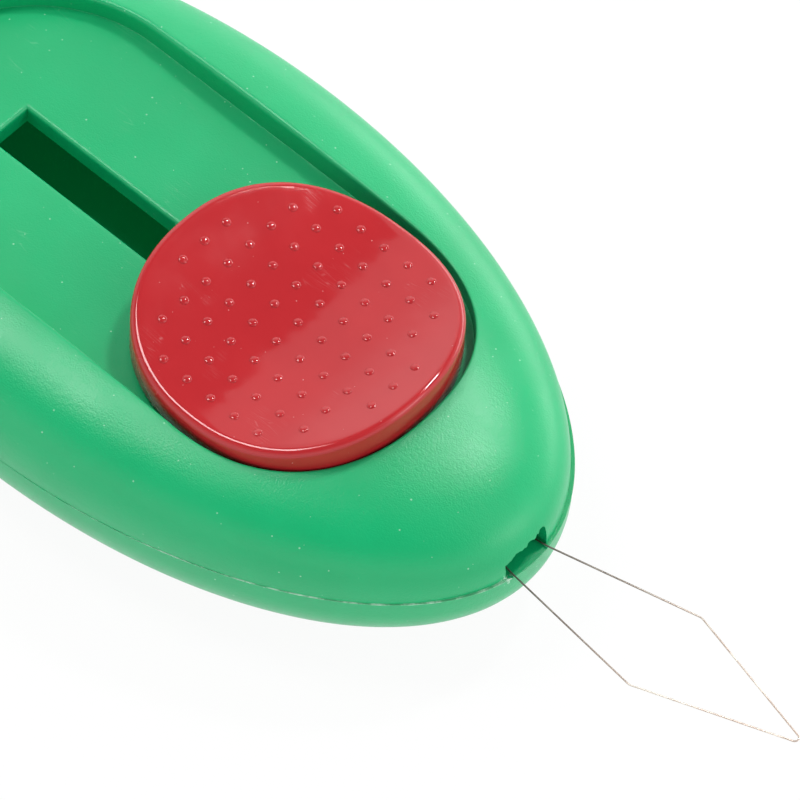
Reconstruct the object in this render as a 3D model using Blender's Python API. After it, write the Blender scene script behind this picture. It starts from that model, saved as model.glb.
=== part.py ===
"""Retractable needle threader, modelled as its separate pieces at their real size.

A two-shell oval pod carries a thumb button in a sunk track. The button's stem
passes through a slot in the track floor and snaps into a carriage, which holds
a fine wire loop in a crimp. Sliding the button back draws the loop into the nose.

X runs forward to the nose, Y to the left and Z up. The origin is the middle of
the flat base. The pieces stand as they do with the loop pushed right out.
Heights inside the functions are measured from the seam between the two shells.
"""

import math

import bmesh
import bpy
from mathutils import Matrix, Vector

MM = 0.001

# Pod shells
BODY_LENGTH = 48.5 * MM
BODY_WIDTH = 25.6 * MM
UPPER_RISE = 5.2 * MM
LOWER_DEPTH = 4.9 * MM
UPPER_FULLNESS = 3.5
LOWER_FULLNESS = 2.3
BASE_SHARE = 0.6
WALL = 1.2 * MM
SEAM_GAP = 0.06 * MM
SEAM_LEDGE = 0.08 * MM

# Thumb track and its slot, in the upper shell
FLOOR_HEIGHT = 3.35 * MM
FLOOR_WALL = 1.05 * MM
TRACK_WIDTH = 16.5 * MM
SLOT_WIDTH = 2.5 * MM
END_CLEARANCE = 0.35 * MM
SLOT_END_CLEARANCE = 0.15 * MM

# Thumb button
BUTTON_X = 9.3 * MM
BUTTON_LENGTH = 15.1 * MM
BUTTON_WIDTH = 15.3 * MM
BUTTON_SQUARENESS = 2.23
BUTTON_HEIGHT = 1.65 * MM
BUTTON_EDGE = 0.45 * MM
DISH_RADIUS = 24.2 * MM
BUTTON_LIFT = 0.2 * MM
CORE_DEPTH = 0.6 * MM
CORE_WALL = 1.3 * MM
BUMP_PITCH = 1.5 * MM
BUMP_WIDTH = 0.5 * MM
BUMP_HEIGHT = 0.14 * MM
BUMP_FIELD_LENGTH = 12.9 * MM
BUMP_FIELD_WIDTH = 13.8 * MM

# Stem of the button, and the carriage that it snaps into
STEM_LENGTH = 2.4 * MM
STEM_SIDE_CLEARANCE = 0.15 * MM
STEM_SOCKET_CLEARANCE = 0.1 * MM
HOOK_REACH = 0.5 * MM
HOOK_HEIGHT = 0.6 * MM
CARRIAGE_LENGTH = 10.0 * MM
CARRIAGE_WIDTH = 8.0 * MM
CARRIAGE_THICKNESS = 2.0 * MM
CARRIAGE_CORNER = 0.8 * MM
RUNNING_GAP = 0.15 * MM
TRAVEL = 17.4 * MM

# Wire loop and the crimp that holds its ends
WIRE_DIAMETER = 0.12 * MM
WIRE_HEIGHT = 0.65 * MM
WIRE_PITCH = math.radians(7.5)
LEG_SPACING = 0.7 * MM
EXIT_SPACING = 2.3 * MM
LEG_SPREAD_START = 6.5 * MM
LOOP_WIDTH = 5.1 * MM
LOOP_LENGTH = 16.3 * MM
SHOULDER_LENGTH = 8.3 * MM
SHOULDER_BEND = 0.5 * MM
TIP_BEND = 0.2 * MM
CRIMP_LENGTH = 3.2 * MM
CRIMP_WIDTH = 2.4 * MM
CRIMP_HEIGHT = 0.9 * MM
CRIMP_BORE_CLEARANCE = 0.05 * MM
CRIMP_SEAT_CLEARANCE = 0.05 * MM

# Exit notch and inner features of the shells
NOTCH_WIDTH = 2.5 * MM
NOTCH_HEIGHT = 1.1 * MM
PIN_REACH = 3.8 * MM
PIN_SPREAD = 12.4 * MM
POST_DIAMETER = 3.0 * MM
PIN_DIAMETER = 1.2 * MM
PIN_HEIGHT = 1.4 * MM
PIN_CLEARANCE = 0.1 * MM
RAMP_CLEARANCE = 0.1 * MM
RAMP_WIDTH = 3.6 * MM
RAMP_LENGTH = 5.6 * MM
RAMP_RUN = 3.8 * MM
RAMP_FOOT_DROP = 1.5 * MM
RAMP_INSET = 0.75

# How finely the round forms are divided
SHELL_SIDES = 64
CAVITY_SIDES = 48
DOME_RINGS = 9
DISH_RINGS = 6
EDGE_RINGS = 3
TRACK_END_SIDES = 18
POST_SIDES = 16
BUMP_SIDES = 8
BUTTON_TOP_SHARES = (0.75, 0.5, 0.25, 0.05)
WIRE_ROUNDNESS = 2
BEND_STEP = math.radians(18)
SHARP_ANGLE = math.radians(35)

# Overlap that makes one shape bite into another before they are joined
BITE = 0.4 * MM
REACH = 2.0 * MM

# Places that follow from the sizes above
HALF_LENGTH = BODY_LENGTH / 2
HALF_WIDTH = BODY_WIDTH / 2
FLOOR_UNDERSIDE = FLOOR_HEIGHT - FLOOR_WALL
BUTTON_BASE = FLOOR_HEIGHT + BUTTON_LIFT
DISH_HEIGHT = BUTTON_BASE + BUTTON_HEIGHT
CARRIAGE_TOP = FLOOR_UNDERSIDE - RUNNING_GAP
CARRIAGE_BASE = CARRIAGE_TOP - CARRIAGE_THICKNESS
RAMP_TOP = -SEAM_GAP / 2 - RAMP_CLEARANCE
STEM_WIDTH = SLOT_WIDTH - 2 * STEM_SIDE_CLEARANCE
TRACK_RADIUS = TRACK_WIDTH / 2
TRACK_FRONT = BUTTON_X + BUTTON_LENGTH / 2 + END_CLEARANCE
TRACK_BACK = BUTTON_X - TRAVEL - BUTTON_LENGTH / 2 - END_CLEARANCE
SLOT_FRONT = BUTTON_X + STEM_LENGTH / 2 + SLOT_END_CLEARANCE
SLOT_BACK = BUTTON_X - TRAVEL - STEM_LENGTH / 2 - SLOT_END_CLEARANCE
PIN_PLACES = [
    (x, side * PIN_SPREAD / 2)
    for x in (TRACK_FRONT - TRACK_RADIUS + PIN_REACH, TRACK_BACK + TRACK_RADIUS - PIN_REACH)
    for side in (-1, 1)
]


def clear_scene():
    for obj in list(bpy.data.objects):
        bpy.data.objects.remove(obj, do_unlink=True)


def make_material(name, colour, roughness, metallic=0.0):
    material = bpy.data.materials.new(name)
    material.use_nodes = True
    shader = material.node_tree.nodes["Principled BSDF"]
    shader.inputs["Base Color"].default_value = (*colour, 1.0)
    shader.inputs["Roughness"].default_value = roughness
    shader.inputs["Metallic"].default_value = metallic
    return material


def make_frame(name, place):
    """An empty that its pieces are parented to."""
    frame = bpy.data.objects.new(name, None)
    frame.location = place
    bpy.context.collection.objects.link(frame)
    return frame


def make_object(name, bm, frame, material=None):
    bmesh.ops.recalc_face_normals(bm, faces=bm.faces)
    mesh = bpy.data.meshes.new(name)
    bm.to_mesh(mesh)
    bm.free()
    mesh.shade_smooth()
    mesh.set_sharp_from_angle(angle=SHARP_ANGLE)
    obj = bpy.data.objects.new(name, mesh)
    bpy.context.collection.objects.link(obj)
    obj.parent = frame
    if material:
        mesh.materials.append(material)
    return obj


def shape(obj, operation, tool):
    """Cut, join or trim obj by a tool object, which is itself left out of the model."""
    tool.hide_render = True
    tool.display_type = "WIRE"
    modifier = obj.modifiers.new(tool.name, "BOOLEAN")
    modifier.operation = operation
    modifier.solver = "EXACT"
    modifier.object = tool


def oval(half_length, half_width, squareness, count, height):
    """One ring of points; height is a number, or a function of the distance along X."""
    points = []
    for step in range(count):
        angle = 2 * math.pi * step / count
        c, s = math.cos(angle), math.sin(angle)
        x = half_length * math.copysign(abs(c) ** (2 / squareness), c)
        y = half_width * math.copysign(abs(s) ** (2 / squareness), s)
        points.append(Vector((x, y, height(x) if callable(height) else height)))
    return points


def loft(bm, rings):
    """A closed body skinned over rings of equal count, with both ends filled."""
    loops = [[bm.verts.new(point) for point in ring] for ring in rings]
    for lower, upper in zip(loops, loops[1:]):
        for i in range(len(lower)):
            j = (i + 1) % len(lower)
            bm.faces.new((lower[i], lower[j], upper[j], upper[i]))
    bm.faces.new(reversed(loops[0]))
    bm.faces.new(loops[-1])


def prism(bm, outline, low, high):
    """A flat outline of (x, y) pairs carried straight up from low to high."""
    loft(bm, [[Vector((x, y, z)) for x, y in outline] for z in (low, high)])


def block(bm, x_range, y_range, z_range):
    (x0, x1), (y0, y1) = x_range, y_range
    prism(bm, [(x0, y0), (x1, y0), (x1, y1), (x0, y1)], *z_range)


def stadium(front, back, radius, sides):
    """Outline of a track with half-round ends."""
    outline = []
    for centre, start in ((front - radius, -math.pi / 2), (back + radius, math.pi / 2)):
        for step in range(sides + 1):
            angle = start + math.pi * step / sides
            outline.append((centre + radius * math.cos(angle), radius * math.sin(angle)))
    return outline


def dome_rings(half_length, half_width, rise, fullness, sides, start):
    """Rings of a rounded dome whose skirt begins at the height start."""
    rings = [oval(half_length, half_width, 2, sides, start)] if start < 0 else []
    for step in range(DOME_RINGS):
        angle = math.radians(90) * step / DOME_RINGS
        share = math.cos(angle) ** (2 / fullness)
        height = max(rise * math.sin(angle) ** (2 / fullness), start)
        rings.append(oval(half_length * share, half_width * share, 2, sides, height))
    return rings


def dish_share(step):
    """Share of the full outline, and of the depth, at a step down the lower shell's side."""
    angle = math.radians(90) * step / DISH_RINGS
    share = BASE_SHARE + (1 - BASE_SHARE) * math.cos(angle) ** (2 / LOWER_FULLNESS)
    return share, math.sin(angle) ** (2 / LOWER_FULLNESS)


def dish_rings(half_length, half_width, depth, sides, start):
    """Rings of the lower shell's flat-based dish, whose rim is at the height start."""
    rings = [oval(half_length, half_width, 2, sides, start)] if start > 0 else []
    for step in range(DISH_RINGS + 1):
        share, drop = dish_share(step)
        height = min(-depth * drop, start)
        rings.append(oval(half_length * share, half_width * share, 2, sides, height))
    return rings


def wall_middle(x):
    """Height of the middle of the lower shell's wall on the centre line, at a place along X."""
    share = max(abs(x) / (HALF_LENGTH - WALL / 2), BASE_SHARE)
    across = (share - BASE_SHARE) / (1 - BASE_SHARE)
    drop = (1 - across ** LOWER_FULLNESS) ** (1 / LOWER_FULLNESS)
    return -(LOWER_DEPTH - WALL / 2) * drop


def build_upper_shell(frame, material):
    bm = bmesh.new()
    loft(bm, dome_rings(HALF_LENGTH, HALF_WIDTH, UPPER_RISE, UPPER_FULLNESS, SHELL_SIDES, SEAM_GAP / 2))
    shell = make_object("upper_shell", bm, frame, material)

    bm = bmesh.new()
    inner = (HALF_LENGTH - WALL, HALF_WIDTH - WALL, UPPER_RISE - WALL)
    loft(bm, dome_rings(*inner, UPPER_FULLNESS, CAVITY_SIDES, -REACH))
    cavity = make_object("cutter_upper_cavity", bm, frame)

    bm = bmesh.new()
    outline = stadium(
        TRACK_FRONT + FLOOR_WALL, TRACK_BACK - FLOOR_WALL, TRACK_RADIUS + FLOOR_WALL, TRACK_END_SIDES
    )
    prism(bm, outline, FLOOR_UNDERSIDE, UPPER_RISE + REACH)
    shape(cavity, "DIFFERENCE", make_object("cutter_track_housing", bm, frame))
    shape(shell, "DIFFERENCE", cavity)

    bm = bmesh.new()
    for x, y in PIN_PLACES:
        post = [(POST_DIAMETER / 2, SEAM_GAP / 2), (POST_DIAMETER / 2, FLOOR_UNDERSIDE + BITE)]
        loft(bm, turned_rings(x, y, post))
    shape(shell, "UNION", make_object("tool_pin_bosses", bm, frame))

    bm = bmesh.new()
    for x, y in PIN_PLACES:
        bore = PIN_DIAMETER / 2 + PIN_CLEARANCE
        loft(bm, turned_rings(x, y, [(bore, -REACH), (bore, PIN_HEIGHT + PIN_CLEARANCE)]))
    shape(shell, "DIFFERENCE", make_object("cutter_pin_holes", bm, frame))

    bm = bmesh.new()
    track = stadium(TRACK_FRONT, TRACK_BACK, TRACK_RADIUS, TRACK_END_SIDES)
    prism(bm, track, FLOOR_HEIGHT, UPPER_RISE + REACH)
    shape(shell, "DIFFERENCE", make_object("cutter_track", bm, frame))

    bm = bmesh.new()
    side = SLOT_WIDTH / 2
    block(bm, (SLOT_BACK, SLOT_FRONT), (-side, side), (FLOOR_UNDERSIDE - BITE, FLOOR_HEIGHT + BITE))
    shape(shell, "DIFFERENCE", make_object("cutter_slot", bm, frame))

    bm = bmesh.new()
    side = NOTCH_WIDTH / 2
    block(bm, (HALF_LENGTH - 2 * WALL, HALF_LENGTH + REACH), (-side, side), (-REACH, NOTCH_HEIGHT))
    shape(shell, "DIFFERENCE", make_object("cutter_exit_notch", bm, frame))
    return shell


def turned_rings(x, y, profile):
    """Rings of an upright turned shape at (x, y), from (radius, height) pairs."""
    rings = []
    for radius, height in profile:
        ring = oval(radius, radius, 2, POST_SIDES, height)
        rings.append([point + Vector((x, y, 0)) for point in ring])
    return rings


def build_lower_shell(frame, material):
    rim = -SEAM_GAP / 2
    bm = bmesh.new()
    outer = (HALF_LENGTH + SEAM_LEDGE, HALF_WIDTH + SEAM_LEDGE, LOWER_DEPTH)
    loft(bm, dish_rings(*outer, SHELL_SIDES, rim))
    shell = make_object("lower_shell", bm, frame, material)

    bm = bmesh.new()
    inner = (HALF_LENGTH - WALL, HALF_WIDTH - WALL, LOWER_DEPTH - WALL)
    loft(bm, dish_rings(*inner, CAVITY_SIDES, REACH))
    shape(shell, "DIFFERENCE", make_object("cutter_lower_cavity", bm, frame))

    bm = bmesh.new()
    foot = WALL - LOWER_DEPTH - BITE
    for x, y in PIN_PLACES:
        pin = [
            (POST_DIAMETER / 2, foot),
            (POST_DIAMETER / 2, rim),
            (PIN_DIAMETER / 2, rim),
            (PIN_DIAMETER / 2, PIN_HEIGHT),
        ]
        loft(bm, turned_rings(x, y, pin))
    add_wire_ramp(bm)
    shape(shell, "UNION", make_object("tool_inner_features", bm, frame))
    return shell


def add_wire_ramp(bm):
    """The sloped rest behind the exit notch, which leads the loop out of the nose."""
    front = HALF_LENGTH - RAMP_INSET * WALL
    back = front - RAMP_LENGTH
    outline = [(front, RAMP_TOP)]
    outline += [(x, wall_middle(x)) for x in (front, front - RAMP_LENGTH / 2, back)]
    outline += [(back, RAMP_TOP - RAMP_FOOT_DROP), (back + RAMP_RUN, RAMP_TOP)]
    side = RAMP_WIDTH / 2
    loft(bm, [[Vector((x, y, z)) for x, z in outline] for y in (-side, side)])


def dish(x):
    """Height of the button's dished top at a distance along X from its middle."""
    return DISH_HEIGHT + DISH_RADIUS - math.sqrt(DISH_RADIUS ** 2 - x ** 2)


def bump_places():
    """Places of the grip bumps on the button, on a square grid inside an oval field."""
    reach = int(max(BUMP_FIELD_LENGTH, BUMP_FIELD_WIDTH) / BUMP_PITCH)
    for row in range(-reach, reach + 1):
        for column in range(-reach, reach + 1):
            x, y = row * BUMP_PITCH, column * BUMP_PITCH
            if math.hypot(2 * x / BUMP_FIELD_LENGTH, 2 * y / BUMP_FIELD_WIDTH) <= 1:
                yield x, y


def build_thumb_button(frame, material):
    half_length, half_width = BUTTON_LENGTH / 2, BUTTON_WIDTH / 2
    bm = bmesh.new()
    rings = [oval(half_length, half_width, BUTTON_SQUARENESS, CAVITY_SIDES, BUTTON_BASE)]
    for step in range(EDGE_RINGS + 1):
        angle = math.radians(90) * step / EDGE_RINGS
        inset = BUTTON_EDGE * (1 - math.cos(angle))
        drop = BUTTON_EDGE * (1 - math.sin(angle))
        sizes = (half_length - inset, half_width - inset, BUTTON_SQUARENESS, CAVITY_SIDES)
        rings.append(oval(*sizes, lambda x: dish(x) - drop))
    for share in BUTTON_TOP_SHARES:
        sizes = (half_length * share, half_width * share, BUTTON_SQUARENESS, CAVITY_SIDES)
        rings.append(oval(*sizes, dish))
    loft(bm, rings)
    button = make_object("thumb_button", bm, frame, material)

    bm = bmesh.new()
    core = (half_length - CORE_WALL, half_width - CORE_WALL, BUTTON_SQUARENESS, CAVITY_SIDES)
    loft(bm, [oval(*core, z) for z in (BUTTON_BASE - BITE, BUTTON_BASE + CORE_DEPTH)])
    shape(button, "DIFFERENCE", make_object("cutter_button_core", bm, frame))

    bm = bmesh.new()
    length, side = STEM_LENGTH / 2, STEM_WIDTH / 2
    hook_top = CARRIAGE_BASE - STEM_SOCKET_CLEARANCE
    outline = [
        (length, BUTTON_BASE + CORE_DEPTH + BITE),
        (length, hook_top),
        (length + HOOK_REACH, hook_top),
        (length, hook_top - HOOK_HEIGHT),
    ]
    outline += [(-x, z) for x, z in reversed(outline)]
    loft(bm, [[Vector((x, y, z)) for x, z in outline] for y in (-side, side)])
    shape(button, "UNION", make_object("tool_button_stem", bm, frame))

    bm = bmesh.new()
    ball = ((BUMP_WIDTH / 2) ** 2 + BUMP_HEIGHT ** 2) / (2 * BUMP_HEIGHT)
    for x, y in bump_places():
        place = Matrix.Translation((x, y, dish(x) + BUMP_HEIGHT - ball))
        bmesh.ops.create_uvsphere(bm, u_segments=BUMP_SIDES, v_segments=BUMP_SIDES, radius=ball, matrix=place)
    shape(button, "UNION", make_object("tool_grip_bumps", bm, frame))
    return button


def build_slide_carriage(frame, material):
    bm = bmesh.new()
    length, side, corner = CARRIAGE_LENGTH / 2, CARRIAGE_WIDTH / 2, CARRIAGE_CORNER
    quarter = [(length, side - corner), (length - corner, side)]
    half = quarter + [(-x, y) for x, y in reversed(quarter)]
    outline = half + [(x, -y) for x, y in reversed(half)]
    prism(bm, outline, CARRIAGE_BASE, CARRIAGE_TOP)
    carriage = make_object("slide_carriage", bm, frame, material)

    bm = bmesh.new()
    length = STEM_LENGTH / 2 + STEM_SOCKET_CLEARANCE
    side = STEM_WIDTH / 2 + STEM_SOCKET_CLEARANCE
    block(bm, (-length, length), (-side, side), (CARRIAGE_BASE - BITE, CARRIAGE_TOP + BITE))
    shape(carriage, "DIFFERENCE", make_object("cutter_stem_socket", bm, frame))

    bm = bmesh.new()
    front = CARRIAGE_LENGTH / 2
    side = CRIMP_WIDTH / 2 + CRIMP_SEAT_CLEARANCE
    top = WIRE_HEIGHT + CRIMP_HEIGHT / 2 + CRIMP_SEAT_CLEARANCE
    seat_back = front - CRIMP_LENGTH - CRIMP_SEAT_CLEARANCE
    block(bm, (seat_back, front + BITE), (-side, side), (CARRIAGE_BASE - BITE, top))
    shape(carriage, "DIFFERENCE", make_object("cutter_crimp_seat", bm, frame))
    return carriage


def build_wire_crimp(frame, material):
    front = CARRIAGE_LENGTH / 2
    low, high = WIRE_HEIGHT - CRIMP_HEIGHT / 2, WIRE_HEIGHT + CRIMP_HEIGHT / 2
    bm = bmesh.new()
    side = CRIMP_WIDTH / 2
    block(bm, (front - CRIMP_LENGTH, front), (-side, side), (low, high))
    crimp = make_object("wire_crimp", bm, frame, material)

    bm = bmesh.new()
    bore = WIRE_DIAMETER / 2 + CRIMP_BORE_CLEARANCE
    reach = front - CRIMP_LENGTH - BITE, front + BITE
    for side in (-1, 1):
        y = side * LEG_SPACING / 2
        block(bm, reach, (y - bore, y + bore), (WIRE_HEIGHT - bore, WIRE_HEIGHT + bore))
    shape(crimp, "DIFFERENCE", make_object("cutter_wire_bores", bm, frame))
    return crimp


def rounded_path(corners, bends):
    """A line through corners, with each inner corner turned into an arc of its bend radius."""
    path = [corners[0]]
    for before, corner, after, bend in zip(corners, corners[1:], corners[2:], bends):
        towards, away = (before - corner).normalized(), (after - corner).normalized()
        half = towards.angle(away) / 2
        centre = corner + (towards + away).normalized() * (bend / math.sin(half))
        start = corner + towards * (bend / math.tan(half)) - centre
        end = corner + away * (bend / math.tan(half)) - centre
        turn = math.pi - 2 * half
        steps = max(2, round(turn / BEND_STEP))
        for step in range(steps + 1):
            share = step / steps
            mix = start * math.sin((1 - share) * turn) + end * math.sin(share * turn)
            path.append(centre + mix / math.sin(turn))
    return path + [corners[-1]]


def build_wire_loop(frame, material):
    start = CARRIAGE_LENGTH / 2 - CRIMP_LENGTH + BITE
    exit_x = HALF_LENGTH - BUTTON_X
    taper = math.atan2(LOOP_WIDTH / 2, LOOP_LENGTH - SHOULDER_LENGTH)
    tip = LOOP_LENGTH + TIP_BEND * (1 / math.sin(taper) - 1)
    rise = math.tan(WIRE_PITCH)
    leg = [
        Vector((start, LEG_SPACING / 2, WIRE_HEIGHT)),
        Vector((exit_x - LEG_SPREAD_START, LEG_SPACING / 2, WIRE_HEIGHT)),
        Vector((exit_x, EXIT_SPACING / 2, WIRE_HEIGHT)),
        Vector((exit_x + SHOULDER_LENGTH, LOOP_WIDTH / 2, WIRE_HEIGHT + SHOULDER_LENGTH * rise)),
    ]
    bends = [SHOULDER_BEND] * (len(leg) - 1)
    corners = leg + [Vector((exit_x + tip, 0, WIRE_HEIGHT + tip * rise))]
    corners += [Vector((point.x, -point.y, point.z)) for point in reversed(leg)]
    path = rounded_path(corners, bends + [TIP_BEND] + bends)

    curve = bpy.data.curves.new("wire_loop", "CURVE")
    curve.dimensions = "3D"
    curve.bevel_depth = WIRE_DIAMETER / 2
    curve.bevel_resolution = WIRE_ROUNDNESS
    curve.use_fill_caps = True
    spline = curve.splines.new("POLY")
    spline.points.add(len(path) - 1)
    for point, place in zip(spline.points, path):
        point.co = (*place, 1.0)
    curve.materials.append(material)
    wire = bpy.data.objects.new("wire_loop", curve)
    bpy.context.collection.objects.link(wire)
    wire.parent = frame
    return wire


def main():
    clear_scene()
    green = make_material("green_satin_plastic", (0.027, 0.515, 0.191), 0.42)
    red = make_material("red_gloss_plastic", (0.565, 0.025, 0.030), 0.15)
    natural = make_material("natural_plastic", (0.78, 0.77, 0.72), 0.45)
    brass = make_material("brass", (0.72, 0.52, 0.22), 0.35, 1.0)
    steel = make_material("steel_wire", (0.42, 0.40, 0.37), 0.30, 1.0)

    pod = make_frame("pod_frame", (0, 0, LOWER_DEPTH))
    build_upper_shell(pod, green)
    build_lower_shell(pod, green)

    slide = make_frame("slide_axis", (BUTTON_X, 0, LOWER_DEPTH))
    build_thumb_button(slide, red)
    build_slide_carriage(slide, natural)
    build_wire_crimp(slide, brass)
    build_wire_loop(slide, steel)


main()
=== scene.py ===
import math

import bmesh
import bpy
from mathutils import Matrix, Vector, noise


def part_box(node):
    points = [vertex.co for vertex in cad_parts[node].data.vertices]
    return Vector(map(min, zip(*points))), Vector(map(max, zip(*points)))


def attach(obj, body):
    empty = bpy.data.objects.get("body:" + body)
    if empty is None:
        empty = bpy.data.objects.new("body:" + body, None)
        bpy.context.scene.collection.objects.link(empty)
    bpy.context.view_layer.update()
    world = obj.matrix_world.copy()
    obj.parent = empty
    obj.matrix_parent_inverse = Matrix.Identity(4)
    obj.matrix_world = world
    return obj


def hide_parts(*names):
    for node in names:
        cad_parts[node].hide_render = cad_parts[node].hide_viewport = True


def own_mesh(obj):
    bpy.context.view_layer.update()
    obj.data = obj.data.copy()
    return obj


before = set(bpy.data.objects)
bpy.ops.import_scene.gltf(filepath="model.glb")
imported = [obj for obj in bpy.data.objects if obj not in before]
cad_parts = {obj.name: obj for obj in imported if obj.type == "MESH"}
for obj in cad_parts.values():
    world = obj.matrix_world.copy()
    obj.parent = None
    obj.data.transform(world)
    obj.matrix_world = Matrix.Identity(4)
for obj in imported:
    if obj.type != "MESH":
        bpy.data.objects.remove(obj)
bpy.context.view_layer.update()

MM = 0.001

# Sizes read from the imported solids
UPPER_LOW, UPPER_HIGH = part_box("upper_shell")
BUTTON_LOW, BUTTON_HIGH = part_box("thumb_button")
HALF_LENGTH = -UPPER_LOW.x
HALF_WIDTH = UPPER_HIGH.y
BUTTON_X = (BUTTON_LOW.x + BUTTON_HIGH.x) / 2
BUTTON_HALF_LENGTH = (BUTTON_HIGH.x - BUTTON_LOW.x) / 2
BUTTON_HALF_WIDTH = (BUTTON_HIGH.y - BUTTON_LOW.y) / 2

# Pod shells and the seam between them
UPPER_RISE = 5.2 * MM
SEAM = 4.9 * MM
UPPER_FULLNESS = 3.5
LOWER_FULLNESS = 2.3
BASE_SHARE = 0.6
WALL = 1.2 * MM
SEAM_GAP = 0.003 * MM
SEAM_LEDGE = 0.1 * MM
SEAM_EDGE = 0.018 * MM
SEAM_FLASH = 0.012 * MM
SEAM_RISE = 0.55 * MM
SEAM_RISE_SPAN = (2 * MM, 24 * MM)
SEAM_FADE_SPAN = (-4 * MM, 8 * MM)
SEAM_FADE_LEAST = 0.1
LEDGE_SHIFT = Vector((0.04 * MM, 0.1 * MM, 0))

# Thumb track and its slot
FLOOR = SEAM + 3.35 * MM
FLOOR_WALL = 1.05 * MM
TRACK_RADIUS = 8.25 * MM
TRACK_FRONT = 17.2 * MM
TRACK_BACK = -16.0 * MM
TRACK_SPREAD = 0.42 * MM
TRACK_NEAR_TRIM = 0.25 * MM
TRACK_FRONT_TRIM = 0.2 * MM
SLOT_HALF = 1.25 * MM
SLOT_FRONT = 10.65 * MM
SLOT_BACK = -9.45 * MM
SLOT_EDGE = 0.25 * MM
TRIM_POWER = 6
RIM_ROUND_BACK = 0.4 * MM
RIM_ROUND_NEAR = 0.22 * MM
RIM_ROUND_FRONT = 0.16 * MM
RIM_ACROSS_SPAN = (-6 * MM, 6 * MM)
RIM_ALONG_SPAN = (-4 * MM, 14 * MM)
FLOOR_FILLET = 0.03 * MM
HOUSING_STEP = 0.01 * MM

# Thumb button
BUTTON_SQUARENESS = 2.23
BUTTON_BASE = FLOOR + 0.2 * MM
BUTTON_TOP = BUTTON_BASE + 1.65 * MM
BUTTON_EDGE = 0.42 * MM
BUTTON_FOOT = ((0.15 * MM, 0.0), (0.05 * MM, 0.05 * MM), (0.0, 0.16 * MM))
DISH_RADIUS = 24.2 * MM
BUMP_PITCH = 1.5 * MM
BUMP_HALF = 0.23 * MM
BUMP_HEIGHT = 0.07 * MM
BUMP_FIELD = (12.9 * MM, 13.8 * MM)
STEM_HALF_LENGTH = 1.2 * MM
STEM_HALF_WIDTH = 1.1 * MM
HOOK_REACH = 0.5 * MM
HOOK_HEIGHT = 0.6 * MM
HOOK_TOP = SEAM + 0.05 * MM

# Wire loop
WIRE_RADIUS = 0.045 * MM
WIRE_HEIGHT = SEAM + 0.65 * MM
WIRE_RISE = math.tan(math.radians(7.5))
WIRE_START = BUTTON_X + 2.2 * MM
LEG_HALF = 0.35 * MM
EXIT_HALF = 1.15 * MM
LEG_SPREAD = 6.5 * MM
LOOP_HALF = 2.55 * MM
LOOP_LENGTH = 16.3 * MM
SHOULDER_LENGTH = 8.3 * MM
SHOULDER_BEND = 0.5 * MM
TIP_BEND = 0.2 * MM

# Exit notch and the ramp under it
NOTCH_HALF = 1.4 * MM
NOTCH_ASIDE = -0.13 * MM
NOTCH_HEIGHT = 1.8 * MM
NOTCH_DEPTH = 5 * WALL
NOTCH_CUTS = 15
RAGGED_FROM = SEAM + 0.8 * MM
RAGGED_LIFT, RAGGED_ALONG, RAGGED_ACROSS = 0.2 * MM, 900, 2600
FINE_LIFT, FINE_ALONG, FINE_ACROSS = 0.18 * MM, 2500, 7000
SPIKE_LIFT, SPIKE_PLACE, SPIKE_HALF = 0.14 * MM, 1.12 * MM, 0.14 * MM
DIP_DROP, DIP_SPAN = 0.25 * MM, (1.2 * MM, 1.55 * MM)
SIDE_WOBBLE, WOBBLE_ALONG, WOBBLE_UP = 0.05 * MM, 900, 5000
RAMP_TOP = SEAM + SEAM_RISE - 0.02 * MM
RAMP_HALF = 1.8 * MM
RAMP_LENGTH = 5.6 * MM
RAMP_RUN = 3.8 * MM
RAMP_DROP = 1.5 * MM
RAMP_INSET = 0.9 * MM
RAMP_HEEL = 3.6 * MM
RAMP_FOOT = 1.2 * MM
RAMP_FOOT_REACH = 3.35 * MM
RAMP_EDGE = 0.08 * MM

# How finely the round forms are divided
SHELL_SIDES = 288
DOME_STEPS = 26
INNER_DOME_STEPS = 8
RIM_STEPS = 8
FILLET_STEPS = 6
SEAM_EDGE_STEPS = 4
LOWER_STEPS = 24
INNER_LOWER_STEPS = 12
HALVING_STEPS = 24
BUTTON_SIDES = 256
BUTTON_EDGE_STEPS = 8
DISH_RINGS = 30
BUMP_SEGMENTS, BUMP_RINGS = 24, 12
WIRE_SIDES = 12
WIRE_STEP = 0.3 * MM
BEND_STEP = math.radians(9)
SHARP_ANGLE = math.radians(40)
BUTTON_SHARP_ANGLE = math.radians(75)
MERGE_DISTANCE = 0.0002 * MM
TINY = 1e-9

# Camera of the photograph
CAMERA_TURN = math.radians(128.862)
CAMERA_PITCH = math.radians(55.096)
CAMERA_ROLL = math.radians(4.193)
CAMERA_DISTANCE = 372.545 * MM
CAMERA_ASIDE = 4.775 * MM
CAMERA_BELOW = -3.718 * MM
CAMERA_LENS = 357.99
CAMERA_AIM = Vector((BUTTON_X, 0, SEAM + 5.34 * MM))
CAMERA_CLIP = (0.01, 20)

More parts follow.
